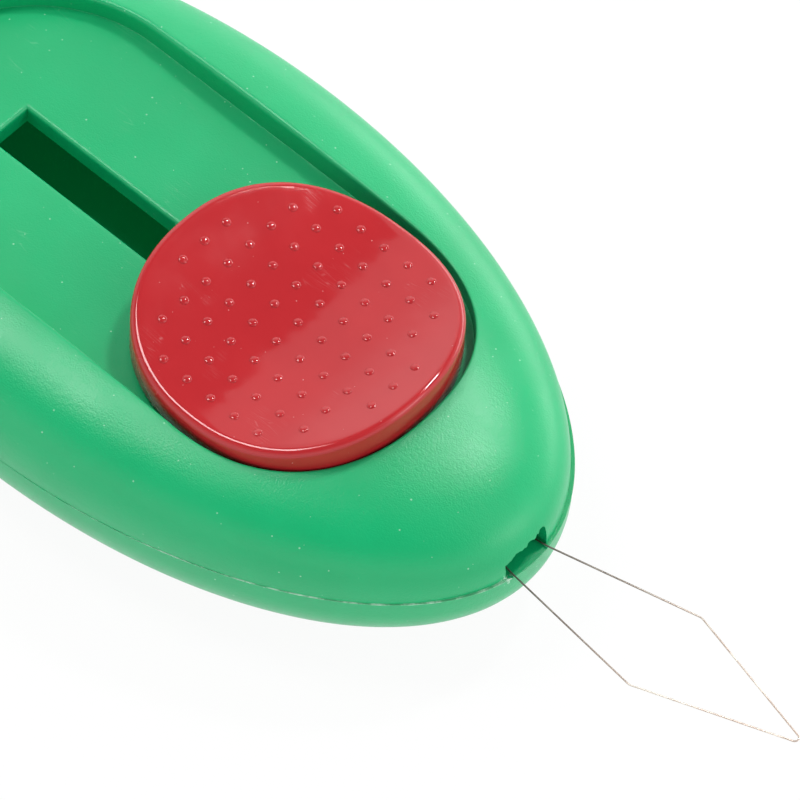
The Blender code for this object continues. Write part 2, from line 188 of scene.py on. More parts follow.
# Lamps: name, direction, distance, width, height (metres) and power (watts)
LAMPS = (
    ("far_softbox", (0.0, 0.56, 0.83), 0.6, 0.07, 0.07, 1.1),
    ("near_softbox", (-0.36, -0.08, 0.93), 0.6, 0.17, 0.17, 1.2),
    ("front_fill", (0.5, 0.3, 0.8), 0.8, 0.34, 0.34, 0.4),
    ("nose_fill", (0.80, 0.36, 0.43), 0.8, 0.26, 0.26, 0.8),
    ("far_strip", (0.05, 0.98, 0.17), 1.0, 0.9, 0.26, 2.4),
    ("back_window", (-0.60, 0.505, 0.62), 0.8, 0.52, 0.47, 0.62),
)
COVE_SIDES, COVE_TOP, COVE_TOP_SPAN = 0.90, 0.24, (0.55, 0.72)
COVE_FOOT, COVE_FOOT_SPAN = 0.5, (0.05, 0.45)
FLOOR_HALF = 3.0
FLOOR_GLOW = 0.94

# Colours
GREEN = ((0.001, 0.390, 0.138, 1), (0.002, 0.420, 0.152, 1))
GREEN_PALE = (0.70, 0.90, 0.78, 1)
# Painted glow for the faces inside the pod: it stands in for light through the walls and is not a lamp
INSIDE_PAINTED_GLOW = ((0, 0, 0, 1), (0, 0.034, 0.008, 1))
RED = ((0.435, 0.016, 0.021, 1), (0.470, 0.020, 0.025, 1))
RED_PALE = (0.80, 0.55, 0.55, 1)
STEEL_DARK = ((0.13, 0.115, 0.10, 1), (0.22, 0.195, 0.17, 1))
STEEL_BRIGHT = ((0.60, 0.49, 0.42, 1), (0.80, 0.74, 0.66, 1))
NYLON = ((0.74, 0.73, 0.67, 1), (0.82, 0.81, 0.77, 1))
NYLON_WORN = (0.6, 0.59, 0.55, 1)
BRASS = ((0.72, 0.52, 0.22, 1), (0.52, 0.35, 0.15, 1))
WHITE = ((0.90, 0.90, 0.90, 1), (0.93, 0.93, 0.93, 1))

# Finish: roughness ranges, strengths and spots of the surfaces
GREEN_ROUGHNESS = (0.28, 0.34)
GREEN_SPECULAR = 0.48
GREEN_GRAIN = (0.42, 0.03 * MM)
FLASH_HALF_SPAN = (0.02 * MM, 0.06 * MM)
FLASH_STRENGTH = (0.15, 0.75)
FLASH_ALONG_SPAN = (3 * MM, 15 * MM)
FLASH_ACROSS_SPAN = (-1.7 * MM, -1.4 * MM)
CRUMB_SPAN = (0.15 * MM, 0.5 * MM)
FLOOR_WEAR = 0.07
FLOOR_WEAR_SPAN = (0.03 * MM, 0.1 * MM)
GREEN_DUST = 0.38
RED_ROUGHNESS = (0.07, 0.10)
RED_EDGE_ROUGHNESS = 0.11
RED_EDGE_SPAN = (0.02 * MM, 0.15 * MM)
RED_WAVES = (0.9, 0.05 * MM)
STEEL_BRIGHT_SPAN = (25 * MM, 36 * MM)
METAL_ROUGHNESS = (0.28, 0.42)
NYLON_ROUGHNESS = 0.45
NYLON_GRAIN = (0.3, 0.02 * MM)


def smooth(value, low, high):
    """A soft step from 0 at low to 1 at high."""
    share = min(max((value - low) / (high - low), 0.0), 1.0)
    return share * share * (3 - 2 * share)


def extrude_rings(bm, rings):
    """Extrude a circle from ring to ring; gives the loops of vertices."""
    loop = bmesh.ops.create_circle(bm, segments=len(rings[0]), radius=MM)["verts"]
    edges = list(dict.fromkeys(edge for vert in loop for edge in vert.link_edges))
    loops = []
    for ring in rings:
        if loops:
            made = bmesh.ops.extrude_edge_only(bm, edges=edges)["geom"]
            fresh = {item for item in made if isinstance(item, bmesh.types.BMVert)}
            loop = [
                next(edge.other_vert(vert) for edge in vert.link_edges if edge.other_vert(vert) in fresh)
                for vert in loop
            ]
            edges = [
                item for item in made
                if isinstance(item, bmesh.types.BMEdge) and all(vert in fresh for vert in item.verts)
            ]
        for vert, place in zip(loop, ring):
            vert.co = place
        loops.append(loop)
    return loops


def close_tube(bm, loops):
    """Weld the last loop onto the first."""
    bmesh.ops.weld_verts(bm, targetmap=dict(zip(loops[-1], loops[0])))


def fill_ends(bm):
    bmesh.ops.holes_fill(bm, edges=[edge for edge in bm.edges if edge.is_boundary], sides=0)


def make_piece(name, bm, material, sharp=SHARP_ANGLE):
    """Turn a finished bmesh into a named object with smooth faces."""
    bmesh.ops.recalc_face_normals(bm, faces=bm.faces)
    mesh = bpy.data.meshes.new(name)
    bm.to_mesh(mesh)
    bm.free()
    mesh.shade_smooth()
    mesh.set_sharp_from_angle(angle=sharp)
    piece = bpy.data.objects.new(name, mesh)
    bpy.context.collection.objects.link(piece)
    if material:
        mesh.materials.append(material)
    return piece


def clean_faces(mesh):
    """Split all faces into triangles and take out those without area."""
    bm = bmesh.new()
    bm.from_mesh(mesh)
    bmesh.ops.triangulate(bm, faces=bm.faces)
    bmesh.ops.dissolve_degenerate(bm, dist=MERGE_DISTANCE, edges=bm.edges)
    bm.to_mesh(mesh)
    bm.free()


def apply_boolean(piece, tool, operation):
    """Cut or join a piece by a tool, make the result its mesh and take the tool away."""
    clean_faces(piece.data)
    clean_faces(tool.data)
    modifier = piece.modifiers.new("shape", "BOOLEAN")
    modifier.operation = operation
    modifier.solver = "EXACT"
    modifier.object = tool
    bpy.context.view_layer.update()
    shaped = bpy.data.meshes.new_from_object(
        piece.evaluated_get(bpy.context.evaluated_depsgraph_get())
    )
    piece.modifiers.clear()
    clean_faces(shaped)
    piece.data = shaped
    bpy.data.objects.remove(tool, do_unlink=True)


def oval_ring(half_length, half_width, squareness, count, height):
    """Points round an oval; squareness 2 is an ellipse, more is boxier."""
    ring = []
    for step in range(count):
        angle = 2 * math.pi * step / count
        c, s = math.cos(angle), math.sin(angle)
        x = half_length * math.copysign(abs(c) ** (2 / squareness), c)
        y = half_width * math.copysign(abs(s) ** (2 / squareness), s)
        ring.append(Vector((x, y, height(x, y) if callable(height) else height)))
    return ring


def seam_height(x):
    """Height of the seam, which lifts a little towards the nose."""
    return SEAM + SEAM_RISE * smooth(x, *SEAM_RISE_SPAN)


def seam_ring(long, wide, out, raised):
    """A ring beside the seam; its set-off fades at the back, where the halves meet flush."""
    ring = oval_ring(long, wide, 2, SHELL_SIDES, 0.0)
    for point in ring:
        ease = SEAM_FADE_LEAST + (1 - SEAM_FADE_LEAST) * smooth(point.x, *SEAM_FADE_SPAN)
        point.z = seam_height(point.x) + raised * ease
        point.x *= 1 + out * ease / long
        point.y *= 1 + out * ease / wide
    return ring


def dome_height(x, y, thin=0.0):
    """Height of the upper shell's outside, or of its inside with the wall taken off."""
    share = math.hypot(x / (HALF_LENGTH - thin), y / (HALF_WIDTH - thin))
    drop = max(1 - share ** UPPER_FULLNESS, 0.0) ** (1 / UPPER_FULLNESS)
    return SEAM + (UPPER_RISE - thin) * drop


def spine_point(point):
    """Nearest point of the line between the centres of the track's round ends."""
    x = min(max(point.x, TRACK_BACK + TRACK_RADIUS), TRACK_FRONT - TRACK_RADIUS)
    return Vector((x, 0, 0))


def track_offset(away):
    """Set-off of the track's edge: out at the far front corner, in beside and ahead of the button."""
    offset = -TRACK_NEAR_TRIM * max(-away.y, 0.0) ** TRIM_POWER
    if away.x > 0:
        offset += TRACK_SPREAD * max(2 * away.x * away.y, 0.0) ** 2
        offset -= TRACK_FRONT_TRIM * away.x ** TRIM_POWER
    return offset


def track_ring(outline, radius, height):
    """A ring that follows the track at a radius from its spine."""
    ring = []
    for point in outline:
        spine = spine_point(point)
        away = (Vector((point.x, point.y, 0)) - spine).normalized()
        place = spine + away * (radius + track_offset(away))
        place.z = height(place) if callable(height) else height
        ring.append(place)
    return ring


def slot_ring(outline, grow, height):
    """A ring on the slot's rectangle, with a vertex on each of its corners."""
    front, back, side = SLOT_FRONT + grow, SLOT_BACK - grow, SLOT_HALF + grow
    ring = []
    for point in outline:
        spine = spine_point(point)
        away = (Vector((point.x, point.y, 0)) - spine).normalized()
        reach = side / max(abs(away.y), TINY)
        end = front - spine.x if away.x > 0 else spine.x - back
        if abs(away.x) > TINY:
            reach = min(reach, end / abs(away.x))
        place = spine + away * reach
        ring.append(Vector((place.x, place.y, height)))
    for corner in [Vector((x, y, height)) for x in (front, back) for y in (side, -side)]:
        nearest = min(range(len(ring)), key=lambda i: (ring[i] - corner).length)
        ring[nearest] = corner
    return ring


def rim_round(point):
    """Radius of the track's rim, softest at the back and crisp round the button."""
    back = RIM_ROUND_NEAR + (RIM_ROUND_BACK - RIM_ROUND_NEAR) * smooth(point.y, *RIM_ACROSS_SPAN)
    return back + (RIM_ROUND_FRONT - back) * smooth(point.x, *RIM_ALONG_SPAN)


def dome_strip(outline, inner, thin, steps, start, finish):
    """Rings over the dome from its skirt to an inner ring, in even turns of its slope."""
    long, wide = HALF_LENGTH - thin, HALF_WIDTH - thin
    shares = [min(math.hypot(p.x / long, p.y / wide), 1.0) for p in inner]
    ends = [math.acos(share ** (UPPER_FULLNESS / 2)) for share in shares]
    rings = []
    for step in range(start, finish):
        ring = []
        for point, stop, end in zip(outline, inner, ends):
            share = math.cos(end * step / steps) ** (2 / UPPER_FULLNESS)
            low, high = 0.0, 1.0
            for _ in range(HALVING_STEPS):
                middle = (low + high) / 2
                x = point.x + (stop.x - point.x) * middle
                y = point.y + (stop.y - point.y) * middle
                if math.hypot(x / long, y / wide) > share:
                    low = middle
                else:
                    high = middle
            ring.append(Vector((x, y, dome_height(x, y, thin))))
        rings.append(ring)
    return rings


def corner_rings(before, corner, after, steps):
    """Rings round a corner, tangent to both of its sides."""
    rings = []
    for step in range(steps + 1):
        t = step / steps
        rings.append([
            a * (1 - t) ** 2 + b * (2 * t * (1 - t)) + c * t ** 2
            for a, b, c in zip(before, corner, after)
        ])
    return rings


def build_upper_shell(material):
    outline = seam_ring(HALF_LENGTH, HALF_WIDTH, 0.0, SEAM_GAP / 2 + SEAM_EDGE)
    under = seam_ring(HALF_LENGTH, HALF_WIDTH, -SEAM_EDGE / 4, SEAM_GAP / 2)
    edge = track_ring(outline, TRACK_RADIUS, lambda p: dome_height(p.x, p.y))
    outer_edge = []
    for point in edge:
        spine = spine_point(point)
        away = (Vector((point.x, point.y, 0)) - spine).normalized()
        place = Vector((point.x, point.y, 0)) + away * rim_round(point)
        place.z = dome_height(place.x, place.y)
        outer_edge.append(place)
    lowered = [point - Vector((0, 0, rim_round(point))) for point in edge]

    rings = [under, outline]
    rings += dome_strip(outline, outer_edge, 0.0, DOME_STEPS, 1, DOME_STEPS)
    rings += corner_rings(outer_edge, edge, lowered, RIM_STEPS)
    wall_foot = track_ring(outline, TRACK_RADIUS, FLOOR + FLOOR_FILLET)
    foot = track_ring(outline, TRACK_RADIUS, FLOOR)
    floor_start = track_ring(outline, TRACK_RADIUS - FLOOR_FILLET, FLOOR)
    rings += corner_rings(wall_foot, foot, floor_start, FILLET_STEPS)
    rings.append(track_ring(outline, TRACK_RADIUS - 2 * FLOOR_FILLET, FLOOR))
    rings.append(slot_ring(outline, 2 * SLOT_EDGE, FLOOR))
    top = slot_ring(outline, SLOT_EDGE, FLOOR)
    corner = slot_ring(outline, 0.0, FLOOR)
    side = slot_ring(outline, 0.0, FLOOR - SLOT_EDGE)
    rings += corner_rings(top, corner, side, FILLET_STEPS)
    rings.append(slot_ring(outline, 0.0, FLOOR - FLOOR_WALL))
    housing = track_ring(outline, TRACK_RADIUS + FLOOR_WALL, FLOOR - FLOOR_WALL)
    rings.append(housing)
    inner_outline = oval_ring(HALF_LENGTH - WALL, HALF_WIDTH - WALL, 2, SHELL_SIDES, SEAM)
    inner_edge = [
        Vector((p.x, p.y, max(dome_height(p.x, p.y, WALL), p.z + HOUSING_STEP))) for p in housing
    ]
    rings.append(inner_edge)
    rings += reversed(dome_strip(inner_outline, inner_edge, WALL, INNER_DOME_STEPS, 1, INNER_DOME_STEPS))
    rings.append(seam_ring(HALF_LENGTH - WALL, HALF_WIDTH - WALL, 0.0, SEAM_GAP / 2))
    rings.append(under)

    bm = bmesh.new()
    loops = extrude_rings(bm, rings)
    close_tube(bm, loops)
    shell = make_piece("green_upper_shell", bm, material)
    apply_boolean(shell, ragged_notch(), "DIFFERENCE")
    shell.data.set_sharp_from_angle(angle=SHARP_ANGLE)
    return shell


def ragged_notch():
    """Cutter for the exit notch, whose upper edge was trimmed by hand."""
    bm = bmesh.new()
    bmesh.ops.create_cube(bm, size=1.0)
    bmesh.ops.scale(bm, vec=(NOTCH_DEPTH, 2 * NOTCH_HALF, NOTCH_HEIGHT + WALL), verts=bm.verts)
    middle = Vector((HALF_LENGTH - WALL, NOTCH_ASIDE, SEAM + (NOTCH_HEIGHT - WALL) / 2))
    bmesh.ops.translate(bm, vec=middle, verts=bm.verts)
    bmesh.ops.subdivide_edges(bm, edges=bm.edges, cuts=NOTCH_CUTS, use_grid_fill=True)
    for vert in bm.verts:
        place = vert.co
        share = smooth(place.z, RAGGED_FROM, SEAM + NOTCH_HEIGHT)
        ragged = noise.noise(Vector((place.x * RAGGED_ALONG, place.y * RAGGED_ACROSS, 3.7)))
        fine = noise.noise(Vector((place.x * FINE_ALONG, place.y * FINE_ACROSS, 9.1)))
        spike = max(1 - abs(place.y - SPIKE_PLACE) / SPIKE_HALF, 0.0)
        dip = smooth(-place.y, *DIP_SPAN)
        lift = RAGGED_LIFT * ragged + FINE_LIFT * fine + SPIKE_LIFT * spike - DIP_DROP * dip
        place.z += share * lift
        if abs(place.y - NOTCH_ASIDE) > NOTCH_HALF * 0.99:
            wobble = noise.noise(Vector((place.x * WOBBLE_ALONG, 5.5, place.z * WOBBLE_UP)))
            place.y += SIDE_WOBBLE * wobble
    return make_piece("notch_cutter", bm, None)


def lower_share(step, steps):
    """Share of the lower shell's width, and of its depth, at a step down its side."""
    angle = math.radians(90) * step / steps
    share = BASE_SHARE + (1 - BASE_SHARE) * math.cos(angle) ** (2 / LOWER_FULLNESS)
    return share, math.sin(angle) ** (2 / LOWER_FULLNESS)


def build_lower_shell(material):
    long, wide = HALF_LENGTH + SEAM_LEDGE, HALF_WIDTH + SEAM_LEDGE
    inner_long, inner_wide = HALF_LENGTH - WALL, HALF_WIDTH - WALL
    rings = []
    for step in range(INNER_LOWER_STEPS, 0, -1):
        share, drop = lower_share(step, INNER_LOWER_STEPS)
        height = SEAM - (SEAM - WALL) * drop
        rings.append(oval_ring(inner_long * share, inner_wide * share, 2, SHELL_SIDES, height))
    rings.append(seam_ring(inner_long, inner_wide, 0.0, -SEAM_GAP / 2))
    rim_start = seam_ring(long, wide, -SEAM_EDGE, -SEAM_GAP / 2)
    rim_corner = seam_ring(long, wide, SEAM_EDGE + 2 * SEAM_FLASH, -SEAM_GAP / 2)
    rim_end = seam_ring(long, wide, 0.0, -SEAM_GAP / 2 - SEAM_EDGE)
    rings += corner_rings(rim_start, rim_corner, rim_end, SEAM_EDGE_STEPS)
    for step in range(1, LOWER_STEPS + 1):
        share, drop = lower_share(step, LOWER_STEPS)
        height = SEAM - SEAM * drop
        rings.append(oval_ring(long * share, wide * share, 2, SHELL_SIDES, height))
    rings.append(oval_ring(long * BASE_SHARE * 0.5, wide * BASE_SHARE * 0.5, 2, SHELL_SIDES, 0.0))
    bm = bmesh.new()
    extrude_rings(bm, rings)
    fill_ends(bm)
    bmesh.ops.translate(bm, vec=LEDGE_SHIFT, verts=bm.verts)
    shell = make_piece("green_lower_shell", bm, material)
    apply_boolean(shell, ramp_block(), "UNION")
    shell.data.set_sharp_from_angle(angle=SHARP_ANGLE)
    return shell


def ramp_block():
    """The sloped rest that leads the loop out of the nose."""
    bm = bmesh.new()
    bmesh.ops.create_cube(bm, size=1.0)
    front = HALF_LENGTH - RAMP_INSET
    height = RAMP_TOP - RAMP_FOOT
    bmesh.ops.scale(bm, vec=(RAMP_LENGTH, 2 * RAMP_HALF, height), verts=bm.verts)
    bmesh.ops.translate(bm, vec=(front - RAMP_LENGTH / 2, 0, RAMP_TOP - height / 2), verts=bm.verts)
    cut = Vector((front - RAMP_LENGTH + RAMP_RUN, 0, RAMP_TOP))
    slope = Vector((-RAMP_DROP, 0, RAMP_RUN)).normalized()
    heel = Vector((front, 0, RAMP_HEEL))
    under = Vector((RAMP_HEEL - RAMP_FOOT, 0, -RAMP_FOOT_REACH)).normalized()
    for place, facing in ((cut, slope), (heel, under)):
        bmesh.ops.bisect_plane(
            bm, geom=bm.verts[:] + bm.edges[:] + bm.faces[:],
            plane_co=place, plane_no=facing, clear_outer=True,
        )
        fill_ends(bm)
    edges = [edge for edge in bm.edges if min(v.co.z for v in edge.verts) > RAMP_TOP - RAMP_DROP / 2]
    bmesh.ops.bevel(
        bm, geom=edges, offset=RAMP_EDGE, affect="EDGES", segments=2, profile=0.5, material=-1
    )
    return make_piece("ramp_tool", bm, None)


def bump_places():
    """Rows and columns of the grip bumps inside their oval field."""
    reach = int(max(BUMP_FIELD) / BUMP_PITCH)
    for row in range(-reach, reach + 1):
        for column in range(-reach, reach + 1):
            x, y = row * BUMP_PITCH, column * BUMP_PITCH
            if math.hypot(2 * x / BUMP_FIELD[0], 2 * y / BUMP_FIELD[1]) <= 1:
                yield row, column


def dish_height(x, y):
    """Height of the button's dished top at a place from its middle."""
    return BUTTON_TOP + DISH_RADIUS - math.sqrt(DISH_RADIUS ** 2 - x ** 2)


def grip_bumps():
    """Flattened balls, sunk to their middles in the dished top."""
    bm = bmesh.new()
    for row, column in bump_places():
        x, y = row * BUMP_PITCH, column * BUMP_PITCH
        tilt = Matrix.Rotation(-math.asin(x / DISH_RADIUS), 4, "Y")
        flat = Matrix.Diagonal((BUMP_HALF, BUMP_HALF, BUMP_HEIGHT, 1))
        place = Matrix.Translation((x, y, dish_height(x, y))) @ tilt @ flat
        bmesh.ops.create_uvsphere(
            bm, u_segments=BUMP_SEGMENTS, v_segments=BUMP_RINGS, radius=1.0, matrix=place
        )
    mesh = bpy.data.meshes.new("grip_bumps")
    bm.to_mesh(mesh)
    bm.free()
    return mesh


def build_thumb_button(material):
    half_length, half_width = BUTTON_HALF_LENGTH, BUTTON_HALF_WIDTH

    def outline(inset, height):
        return oval_ring(half_length - inset, half_width - inset, BUTTON_SQUARENESS, BUTTON_SIDES, height)

    def stem(grow, height):
        ring = []
        for point in outline(0, 0):
            reach = min(
                (STEM_HALF_LENGTH + grow) / max(abs(point.x), TINY),
                STEM_HALF_WIDTH / max(abs(point.y), TINY),
            )
            ring.append(Vector((point.x * reach, point.y * reach, height)))
        return ring

    rings = [
        stem(0, HOOK_TOP - HOOK_HEIGHT),
        stem(HOOK_REACH, HOOK_TOP),
        stem(0, HOOK_TOP),
        stem(0, BUTTON_BASE),
    ]
    rings += [outline(inset, BUTTON_BASE + raised) for inset, raised in BUTTON_FOOT]
    for step in range(BUTTON_EDGE_STEPS + 1):
        angle = math.radians(90) * step / BUTTON_EDGE_STEPS
        inset = BUTTON_EDGE * (1 - math.cos(angle))
        drop = BUTTON_EDGE * (1 - math.sin(angle))
        rings.append(outline(inset, lambda x, y: dish_height(x, y) - drop))
    for step in range(1, DISH_RINGS):
        share = 1 - step / DISH_RINGS
        sizes = (half_length - BUTTON_EDGE) * share, (half_width - BUTTON_EDGE) * share
        rings.append(oval_ring(*sizes, BUTTON_SQUARENESS, BUTTON_SIDES, dish_height))
    bm = bmesh.new()
    extrude_rings(bm, rings)
    bmesh.ops.remove_doubles(bm, verts=bm.verts, dist=MERGE_DISTANCE)
    fill_ends(bm)
    bm.from_mesh(grip_bumps())
    bmesh.ops.translate(bm, vec=(BUTTON_X, 0, 0), verts=bm.verts)
    return make_piece("red_thumb_button", bm, material, BUTTON_SHARP_ANGLE)


def rounded_path(corners, bends, step_length):
    """A line through corners with rounded bends, in short even steps."""
    path = [corners[0]]
    for before, corner, after, bend in zip(corners, corners[1:], corners[2:], bends):
        towards, away = (before - corner).normalized(), (after - corner).normalized()
        half = towards.angle(away) / 2
        centre = corner + (towards + away).normalized() * (bend / math.sin(half))
        start = corner + towards * (bend / math.tan(half)) - centre
        end = corner + away * (bend / math.tan(half)) - centre
        turn = math.pi - 2 * half
        steps = max(4, round(turn / BEND_STEP))
        for step in range(steps + 1):
            share = step / steps
            mix = start * math.sin((1 - share) * turn) + end * math.sin(share * turn)
            path.append(centre + mix / math.sin(turn))
    path.append(corners[-1])
    even = [path[0]]
    for before, after in zip(path, path[1:]):
        pieces = max(1, round((after - before).length / step_length))
        even += [before.lerp(after, (i + 1) / pieces) for i in range(pieces)]
    return even


def build_wire_loop(material):
    exit_x = HALF_LENGTH
    taper = math.atan2(LOOP_HALF, LOOP_LENGTH - SHOULDER_LENGTH)
    tip = LOOP_LENGTH + TIP_BEND * (1 / math.sin(taper) - 1)
    leg = [
        Vector((WIRE_START, LEG_HALF, WIRE_HEIGHT)),
        Vector((exit_x - LEG_SPREAD, LEG_HALF, WIRE_HEIGHT)),
        Vector((exit_x, EXIT_HALF, WIRE_HEIGHT)),
        Vector((exit_x + SHOULDER_LENGTH, LOOP_HALF, WIRE_HEIGHT + SHOULDER_LENGTH * WIRE_RISE)),
    ]
    bends = [SHOULDER_BEND] * (len(leg) - 1)
    corners = leg + [Vector((exit_x + tip, 0, WIRE_HEIGHT + tip * WIRE_RISE))]
    corners += [Vector((point.x, -point.y, point.z)) for point in reversed(leg)]
    path = rounded_path(corners, bends + [TIP_BEND] + bends, WIRE_STEP)
    rings = []
    across = Vector((0, 0, 1))
    for i, place in enumerate(path):
        along = (path[min(i + 1, len(path) - 1)] - path[max(i - 1, 0)]).normalized()
        side = along.cross(across).normalized()
        up = side.cross(along)
        ring = []
        for step in range(WIRE_SIDES):
            angle = 2 * math.pi * step / WIRE_SIDES
            ring.append(place + (side * math.cos(angle) + up * math.sin(angle)) * WIRE_RADIUS)
        rings.append(ring)
    bm = bmesh.new()
    extrude_rings(bm, rings)
    fill_ends(bm)
    return make_piece("steel_wire_loop", bm, material)


def new_group(name, inputs, outputs):
    """A shader node group with named sockets; inputs give their default values."""
    group = bpy.data.node_groups.new(name, "ShaderNodeTree")
    for label, kind, value in inputs:
        socket = group.interface.new_socket(label, in_out="INPUT", socket_type=kind)
        if value is not None:
            socket.default_value = value
    for label, kind in outputs:
        group.interface.new_socket(label, in_out="OUTPUT", socket_type=kind)
    nodes = group.nodes
    return group, nodes.new("NodeGroupInput"), nodes.new("NodeGroupOutput")


def feed(tree, socket, value):
    """Link a socket to an output, or set its value."""
    if isinstance(value, bpy.types.NodeSocket):
        tree.links.new(value, socket)
    else:
        socket.default_value = value


def add_node(tree, kind, values=None, **settings):
    """A node with its settings made and its inputs fed."""
    node = tree.nodes.new(kind)
    for key, value in settings.items():
        setattr(node, key, value)
    for key, value in (values or {}).items():
        feed(tree, node.inputs[key], value)
    return node


def add_math(tree, operation, first, second=0.0, third=None):
    values = {0: first, 1: second}
    if third is not None:
        values[2] = third
    return add_node(tree, "ShaderNodeMath", values, operation=operation).outputs[0]


def add_range(tree, value, low, high, out_low=0.0, out_high=1.0):
    """A soft step between two values, from out_low to out_high."""
    values = {"Value": value, "From Min": low, "From Max": high, "To Min": out_low, "To Max": out_high}
    node = add_node(tree, "ShaderNodeMapRange", values, interpolation_type="SMOOTHSTEP")
    return node.outputs["Result"]


def add_noise(tree, place, scale, detail=2.0, roughness=0.5):
    values = {"Vector": place, "Scale": scale, "Detail": detail, "Roughness": roughness}
    return add_node(tree, "ShaderNodeTexNoise", values).outputs["Fac"]


def group_moulded_grain():
    """Fine grain of a spark-eroded mould, as a height."""
    sockets = [("Place", "NodeSocketVector", None), ("Grain", "NodeSocketFloat", 12000.0)]
    group, start, end = new_group("moulded_grain", sockets, [("Height", "NodeSocketFloat")])
    place, grain = start.outputs["Place"], start.outputs["Grain"]
    fine = add_noise(group, place, grain, 2.0, 0.6)
    coarse = add_noise(group, place, add_math(group, "MULTIPLY", grain, 0.35), 1.0, 0.5)
    mixed = add_math(group, "ADD", fine, add_math(group, "MULTIPLY", coarse, 0.45))
    group.links.new(mixed, end.inputs["Height"])
    return group


def group_handling_marks():
    """Masks for dust specks and for hairline scratches."""
    sockets = [
        ("Place", "NodeSocketVector", None),
        ("Dust Scale", "NodeSocketFloat", 2200.0),
        ("Dust Size", "NodeSocketFloat", 0.1),
        ("Scratch Scale", "NodeSocketFloat", 150.0),
    ]
    outputs = [("Dust", "NodeSocketFloat"), ("Scratches", "NodeSocketFloat")]
    group, start, end = new_group("handling_marks", sockets, outputs)
    place = start.outputs["Place"]
    cells = add_node(
        group, "ShaderNodeTexVoronoi", {"Vector": place, "Scale": start.outputs["Dust Scale"]}
    )
    chosen = add_node(group, "ShaderNodeSeparateColor", {"Color": cells.outputs["Color"]})
    size = add_math(group, "MULTIPLY", chosen.outputs["Green"], start.outputs["Dust Size"])
    near = add_math(group, "LESS_THAN", cells.outputs["Distance"], size)
    some = add_math(group, "GREATER_THAN", chosen.outputs["Red"], 0.35)
    group.links.new(add_math(group, "MULTIPLY", near, some), end.inputs["Dust"])
    total = None
    for turn, stretch, shift in ((0.5, 24.0, 0.013), (2.1, 30.0, 0.031)):
        turned = add_node(
            group, "ShaderNodeMapping",
            {
                "Vector": place, "Location": (shift, -shift, 0),
                "Rotation": (0, 0, turn), "Scale": (1, stretch, 1),
            },
        )
        lines = add_node(
            group, "ShaderNodeTexVoronoi",
            {"Vector": turned.outputs["Vector"], "Scale": start.outputs["Scratch Scale"]},
            feature="DISTANCE_TO_EDGE",
        )
        thin = add_range(group, lines.outputs["Distance"], 0.0, 0.018, 1.0, 0.0)
        patch = add_noise(group, place, 420.0, 2.0, 0.6)
        kept = add_math(group, "MULTIPLY", thin, add_range(group, patch, 0.58, 0.70))
        total = kept if total is None else add_math(group, "MAXIMUM", total, kept)
    group.links.new(total, end.inputs["Scratches"])
    return group


def new_material(name):
    material = bpy.data.materials.new(name)
    material.use_nodes = True
    tree = material.node_tree
    shader = tree.nodes["Principled BSDF"]
    place = add_node(tree, "ShaderNodeTexCoord").outputs["Object"]
    return material, tree, shader, place


def add_group(tree, group, values):
    return add_node(tree, "ShaderNodeGroup", values, node_tree=group).outputs


def mix_colour(tree, share, first, second):
    return add_node(tree, "ShaderNodeMix", {0: share, 6: first, 7: second}, data_type="RGBA").outputs[2]


def add_bump(tree, shader, height, strength, distance):
    values = {"Strength": strength, "Distance": distance, "Height": height}
    feed(tree, shader.inputs["Normal"], add_node(tree, "ShaderNodeBump", values).outputs["Normal"])


def seam_flash(tree, place, axes, share):
    """Mask for the pale broken line on the near half of the seam and the crumbs beside the notch."""
    lifted = add_range(tree, axes["X"], *SEAM_RISE_SPAN, 0.0, SEAM_RISE)
    seam = add_math(tree, "ADD", lifted, SEAM - SEAM_FLASH)
    apart = add_math(tree, "ABSOLUTE", add_math(tree, "SUBTRACT", axes["Z"], seam))
    broken = add_range(tree, add_noise(tree, place, 1100.0, 4.0, 0.65), 0.42, 0.62, *FLASH_STRENGTH)
    flash = add_math(tree, "MULTIPLY", add_range(tree, apart, *FLASH_HALF_SPAN, 1.0, 0.0), broken)
    flash = add_math(tree, "MULTIPLY", flash, add_range(tree, share, 0.994, 0.998))
    flash = add_math(tree, "MULTIPLY", flash, add_range(tree, axes["X"], *FLASH_ALONG_SPAN, 0.05, 1.0))
    flash = add_math(tree, "MULTIPLY", flash, add_range(tree, axes["Y"], *FLASH_ACROSS_SPAN, 1.0, 0.0))
    corner = (HALF_LENGTH, NOTCH_ASIDE - NOTCH_HALF, SEAM + SEAM_RISE)
    off = add_node(tree, "ShaderNodeVectorMath", {0: place, 1: corner}, operation="DISTANCE")
    crumbs = add_range(tree, add_noise(tree, place, 5200.0, 2.0, 0.6), 0.5, 0.56, 0.0, 0.8)
    close = add_range(tree, off.outputs["Value"], *CRUMB_SPAN, 1.0, 0.0)
    return add_math(tree, "MAXIMUM", flash, add_math(tree, "MULTIPLY", crumbs, close))


def painted_glow_mask(tree, axes, share):
    """Mask for the painted glow on the faces inside the pod, from the bottom up to the slot."""
    within = add_range(tree, share, 0.6, 0.75, 1.0, 0.0)
    above = add_range(tree, axes["Z"], WALL * 0.8, WALL * 0.9)
    below = add_range(tree, axes["Z"], FLOOR - FLOOR_WALL, FLOOR - 0.5 * FLOOR_WALL, 1.0, 0.0)
    return add_math(tree, "MULTIPLY", add_math(tree, "MULTIPLY", within, above), below)


